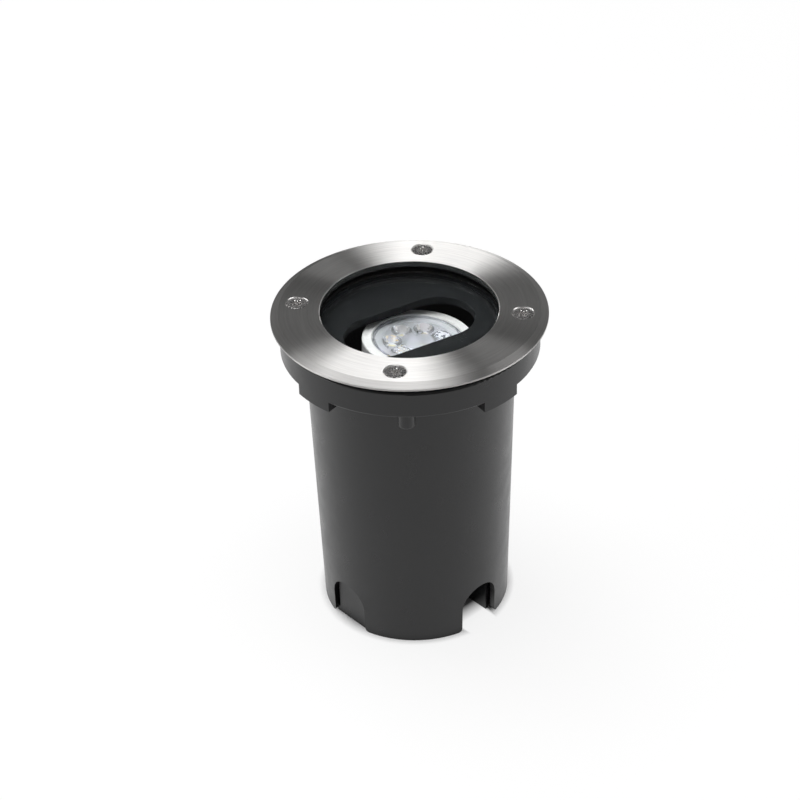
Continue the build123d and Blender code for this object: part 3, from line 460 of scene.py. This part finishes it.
def lamp_shell():
    """Pale moulded lamp body: neck, flare, rim with a dished face, pocket for the optic."""
    wall = 1.6 * MM
    neck_radius, neck_top = 13.4 * MM, 24.0 * MM
    rim_bottom, rim_round = 53.0 * MM, 0.7 * MM
    board, board_floor = 1.6 * MM, 2.0 * MM
    dish, fall, face_steps = 0.22 * MM, 0.1 * MM, 10
    lip_radius, lip_round = OPTIC_RADIUS + 0.45 * MM, 0.3 * MM
    lip_centre, lip_end = LAMP_FACE - 0.4 * MM, LAMP_FACE - 0.5 * MM
    pocket_bottom = BOARD_TOP - board
    cavity_bottom, cavity_top = neck_top + wall, pocket_bottom - board_floor

    face_radius = LAMP_RADIUS - rim_round
    profile = [(0, neck_top), (neck_radius + wall, neck_top), (LAMP_RADIUS, rim_bottom)]
    profile += arc(face_radius, LAMP_FACE - rim_round, rim_round, 0, 90)
    for k in range(1, face_steps + 1):
        share = k / face_steps
        profile.append((face_radius + share * (lip_radius - face_radius),
                        LAMP_FACE - dish * sin(pi * share) - fall * share))
    profile += arc(lip_radius, lip_centre, lip_round, 90, 180, 4)
    profile += [(OPTIC_RADIUS, lip_end), (OPTIC_RADIUS, OPTIC_BOTTOM),
                (LENS_RADIUS, OPTIC_BOTTOM), (LENS_RADIUS, pocket_bottom), (0, pocket_bottom)]
    mesh = bmesh.new()
    lathe(mesh, profile, 128, lamp_frame)
    flare = (LAMP_RADIUS - neck_radius - wall) / (rim_bottom - neck_top)
    lathe(mesh, [(0, cavity_bottom), (neck_radius, cavity_bottom),
                 (neck_radius + flare * (cavity_top - cavity_bottom), cavity_top),
                 (0, cavity_top)], 64, lamp_frame)
    finish_mesh("lamp_shell", mesh, "lamp_body")


def near_bead(x, y):
    """Distance to the nearest of a field of beads in offset rows, and two chances of its own."""
    rise = BEAD_PITCH * sqrt(3) / 2
    middle = round(y / rise)
    found = []
    for row in (middle - 1, middle, middle + 1):
        shift = BEAD_PITCH / 2 * (row % 2)
        column = round((x - shift) / BEAD_PITCH)
        chance = sin(row * HASH[0] + column * HASH[1]) * HASH[2] % 1
        found.append((hypot(x - shift - column * BEAD_PITCH, y - row * rise),
                      chance, chance * HASH[3] % 1))
    return min(found)


def optic_top(x, y):
    """Height of the optic's top face at a point, its level of frost, painted highlight or painted shade, and its
    share of painted gold reflection.
    """
    radius = hypot(x, y)
    height = OPTIC_TOP - LENS_DROP - LENS_SLOPE * (LENS_RADIUS - max(radius, MIDDLE_RADIUS))
    if abs(hypot(x - GATE_PLACE[0], y - GATE_PLACE[1]) - GATE_RADIUS) < GATE_WIDTH:
        return height - GATE_DEPTH, PAINTED_SHADE, 0.0
    for k, (cx, cy) in enumerate(cup_centres):
        if hypot(x - cx, y - cy) < BEAD_FIELD:
            reach, chance, tint = near_bead(x, y)
            sphere = sqrt(max(BEAD_CROWN * BEAD_RADIUS ** 2 - reach ** 2, 0))
            lift = max(sphere - BEAD_RADIUS * sqrt(BEAD_CROWN - 1), 0.0)
            # Painted light on the beads: pale beads are painted highlights, dark beads painted shade, gold a
            # painted reflection of the LEDs.
            if k in DIM_CUPS:
                return height + DIM_LIFT * lift, DIM, DIM_PAINTED_GOLD
            gold_glint_cup = k in GOLD_GLINT_CUPS
            if lift and chance > (GOLD_CUP_HIGHLIGHT_ABOVE if gold_glint_cup else HIGHLIGHT_ABOVE):
                return height + lift, PAINTED_HIGHLIGHT, gold_glint_cup * tint ** 2
            return height + lift, (PAINTED_HALF_SHADE if gold_glint_cup else PAINTED_SHADE) * (chance > CLEAR_BELOW), 0.0
    if radius > BORDER_RADIUS:
        return height, BORDER, 0.0
    return height, MIDDLE if radius < MIDDLE_RADIUS else DISH, 0.0


def optic():
    """Clear optic: a plate with bead lenses on top and a cup down to each light source."""
    rings, segments, cup_segments = 120, 360, 48
    groove_depth, groove_half = 0.15 * MM, 0.14 * MM
    outer, chamfer = OPTIC_RADIUS - 0.03 * MM, 0.1 * MM
    mesh = bmesh.new()
    frost_and_painted_light = mesh.verts.layers.float.new("frost_and_painted_light")
    painted_gold_glint = mesh.verts.layers.float.new("painted_gold_glint")
    rows = []
    for ring in range(rings + 1):
        reach = LENS_RADIUS * ring / rings
        rows.append([])
        for k in range(segments if ring else 1):
            x = reach * cos(2 * pi * k / segments)
            y = reach * sin(2 * pi * k / segments)
            height, share, tint = optic_top(x, y)
            point = mesh.verts.new(lamp_frame @ Vector((x, y, height)))
            point[frost_and_painted_light], point[painted_gold_glint] = share, tint
            rows[-1].append(point)
    edge = [(LENS_RADIUS + 0.05 * MM, OPTIC_TOP)]
    for centre in GROOVE_RADII:
        edge += [(centre - groove_half, OPTIC_TOP), (centre, OPTIC_TOP - groove_depth),
                 (centre + groove_half, OPTIC_TOP)]
    edge += [(outer - chamfer, OPTIC_TOP), (outer, OPTIC_TOP - chamfer), (outer, OPTIC_BOTTOM)]
    rows += [circle(mesh, lamp_frame, segments, *point) for point in edge]
    join_rows(mesh, rows)
    # The underside is flat between the cups.
    loops = [rows[-1]]
    for cx, cy in cup_centres:
        place = lamp_frame @ Matrix.Translation((cx, cy, 0))
        top = circle(mesh, place, cup_segments, CUP_TOP_RADIUS, OPTIC_BOTTOM)
        low = circle(mesh, place, cup_segments, CUP_BOTTOM_RADIUS, OPTIC_BOTTOM - CUP_HEIGHT)
        join_rows(mesh, [top, low])
        mesh.faces.new(low)
        loops.append(top)
    edges = [mesh.edges.get(pair) or mesh.edges.new(pair)
             for loop in loops for pair in zip(loop, loop[1:] + loop[:1])]
    bmesh.ops.triangle_fill(mesh, use_beauty=True, edges=edges)
    finish_mesh("optic", mesh, "lamp_optic")


def cover_screws():
    """Countersunk screws with a six-lobed socket and a centre pin."""
    low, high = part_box("cover_screws")
    top = high.z
    shank_radius, shank_top, tip = 2.5 * MM, top - 2.7 * MM, 0.4 * MM
    spin = 1.7  # turns each socket to another angle, as screws stop anywhere
    # (radius, depth under the top, lobe of the socket), from the pin outward and down
    head = ((0.0, 0.02, 0.0), (0.35, 0.06, 0.0), (0.62, 0.3, 0.0), (0.64, 1.4, 0.0),
            (1.85, 1.4, 0.4), (1.95, 1.2, 0.4), (1.95, 0.3, 0.4), (2.25, 0.05, 0.36),
            (2.7, 0.0, 0.1), (4.2, 0.03, 0.0), (4.55, 0.1, 0.0), (4.8, 0.34, 0.0),
            (4.86, 0.5, 0.0))
    profile = [(radius * MM, top - depth * MM, lobe * MM) for radius, depth, lobe in head]
    profile += [(shank_radius, shank_top), (shank_radius, low.z + tip),
                (shank_radius - tip, low.z), (0, low.z)]
    mesh = bmesh.new()
    for k in range(SCREW_COUNT):
        turn = SCREW_FIRST_ANGLE + 2 * pi * k / SCREW_COUNT
        place = Matrix.Translation((SCREW_CIRCLE * cos(turn), SCREW_CIRCLE * sin(turn), 0))
        lathe(mesh, profile, 96, place @ Matrix.Rotation(turn * spin, 4, "Z"))
    finish_mesh("cover_screw_set", mesh, "cover_screws")


lamp_shell()
optic()
cover_screws()


# ======================= stage, light and camera =======================

def make_floor():
    """Matt floor that shows white, but for a share of its shadow.

    The white glow fades out over a ring at the foot's edge and stops inside the foot. This is a painted shadow,
    through which the floor's own shade shows. Inside the foot, a painted pool of light glows white where the two
    open cable arches would let light in.
    """
    white_share, white_strength = 0.79, 1.085
    foot_edge, white_edge = 40.0 * MM, 46.0 * MM
    arch_turn = radians(-45)
    painted_beam_side, painted_beam_blend, painted_beam_start, painted_beam_end = 8.0 * MM, 2.0 * MM, 29.0 * MM, 37.0 * MM
    bpy.ops.mesh.primitive_circle_add(vertices=96, radius=4.0, fill_type="NGON")
    floor = bpy.context.object
    floor.name = "floor"
    s = Shader("floor", (0.9, 0.9, 0.9), 1.0)
    s.set(Specular_IOR_Level=0.0)
    path = s.add("ShaderNodeLightPath")
    seen = s.math("MAXIMUM", path.outputs["Is Camera Ray"], path.outputs["Is Glossy Ray"])
    seen = s.math("MAXIMUM", seen, path.outputs["Is Transmission Ray"])
    # Painted shadow: the glow fades out from foot_edge to white_edge and stops inside the foot.
    past_painted_shadow = s.span(s.vector("LENGTH", s.place), foot_edge, white_edge)
    # Painted pool of light: a strip inside the foot, along the two open cable arches, glows white too.
    turned = s.add("ShaderNodeVectorRotate", {"Vector": s.place, "Angle": arch_turn},
                   rotation_type="Z_AXIS")
    split = s.add("ShaderNodeSeparateXYZ", {0: turned.outputs[0]})
    across = s.math("ABSOLUTE", split.outputs["X"])
    along = s.math("ABSOLUTE", split.outputs["Y"])
    painted_beam = s.math("MULTIPLY", s.span(across, painted_beam_side, painted_beam_side + painted_beam_blend, 1.0, 0.0),
                  s.span(along, painted_beam_start, painted_beam_end))
    white = s.math("MULTIPLY", s.math("MAXIMUM", past_painted_shadow, painted_beam), white_share)
    s.mix_in(s.math("MULTIPLY", seen, white),
             s.add("ShaderNodeEmission", {"Color": (1, 1, 1, 1), "Strength": white_strength}))
    floor.data.materials.append(s.material)


def make_world():
    """White studio wall near the horizon, dark ceiling; the camera sees it white."""
    world = bpy.data.worlds.new("studio")
    bpy.context.scene.world = world
    world.use_nodes = True
    w = Nodes(world.node_tree)
    split = w.add("ShaderNodeSeparateXYZ", {0: w.add("ShaderNodeTexCoord").outputs["Generated"]})
    rise = w.add("ShaderNodeValToRGB", {"Fac": split.outputs["Z"]})
    while len(rise.color_ramp.elements) < len(WORLD_STOPS):
        rise.color_ramp.elements.new(1.0)
    for stop, (height, tone) in zip(rise.color_ramp.elements, WORLD_STOPS):
        stop.position, stop.color = height, (tone, tone, tone, 1)
    path = w.add("ShaderNodeLightPath")
    back = w.tree.nodes["Background"]
    w.feed(back.inputs["Color"],
           w.mix(path.outputs["Is Camera Ray"], rise.outputs["Color"], (1, 1, 1)))
    w.feed(back.inputs["Strength"], 1.0)


def make_lights():
    """Large rectangular lamps that face the part."""
    for name, place, width, depth, power in SOFTBOXES:
        light = bpy.data.lights.new(name, "AREA")
        light.shape = "RECTANGLE"
        light.size, light.size_y = width, depth
        light.energy = power
        lamp = bpy.data.objects.new(name, light)
        bpy.context.scene.collection.objects.link(lamp)
        lamp.location = place
        lamp.rotation_mode = "QUATERNION"
        lamp.rotation_quaternion = (Vector(LIGHT_AIM) - Vector(place)).to_track_quat("-Z", "Y")


def make_camera():
    """Camera at the photograph's viewing angle; the aim point falls on its pixel."""
    focal_pixels = LENS / SENSOR * PHOTO_SIDE
    back = Vector((sin(CAMERA_AZIMUTH) * cos(CAMERA_ELEVATION),
                   -cos(CAMERA_AZIMUTH) * cos(CAMERA_ELEVATION), sin(CAMERA_ELEVATION)))
    data = bpy.data.cameras.new("camera")
    data.lens, data.sensor_width = LENS, SENSOR
    camera = bpy.data.objects.new("camera", data)
    bpy.context.scene.collection.objects.link(camera)
    camera.location = Vector((0, 0, AIM_HEIGHT)) + back * CAMERA_DISTANCE
    ray = Vector((AIM_PIXEL[0] - PHOTO_SIDE / 2, PHOTO_SIDE / 2 - AIM_PIXEL[1], -focal_pixels))
    to_pixel = Vector((0, 0, -1)).rotation_difference(ray)
    roll = Quaternion((0, 0, 1), CAMERA_ROLL)
    camera.rotation_mode = "QUATERNION"
    camera.rotation_quaternion = (-back).to_track_quat("-Z", "Y") @ (to_pixel @ roll).inverted()
    bpy.context.scene.camera = camera


make_floor()
make_world()
make_lights()
make_camera()
bpy.context.scene.view_settings.view_transform = "Standard"
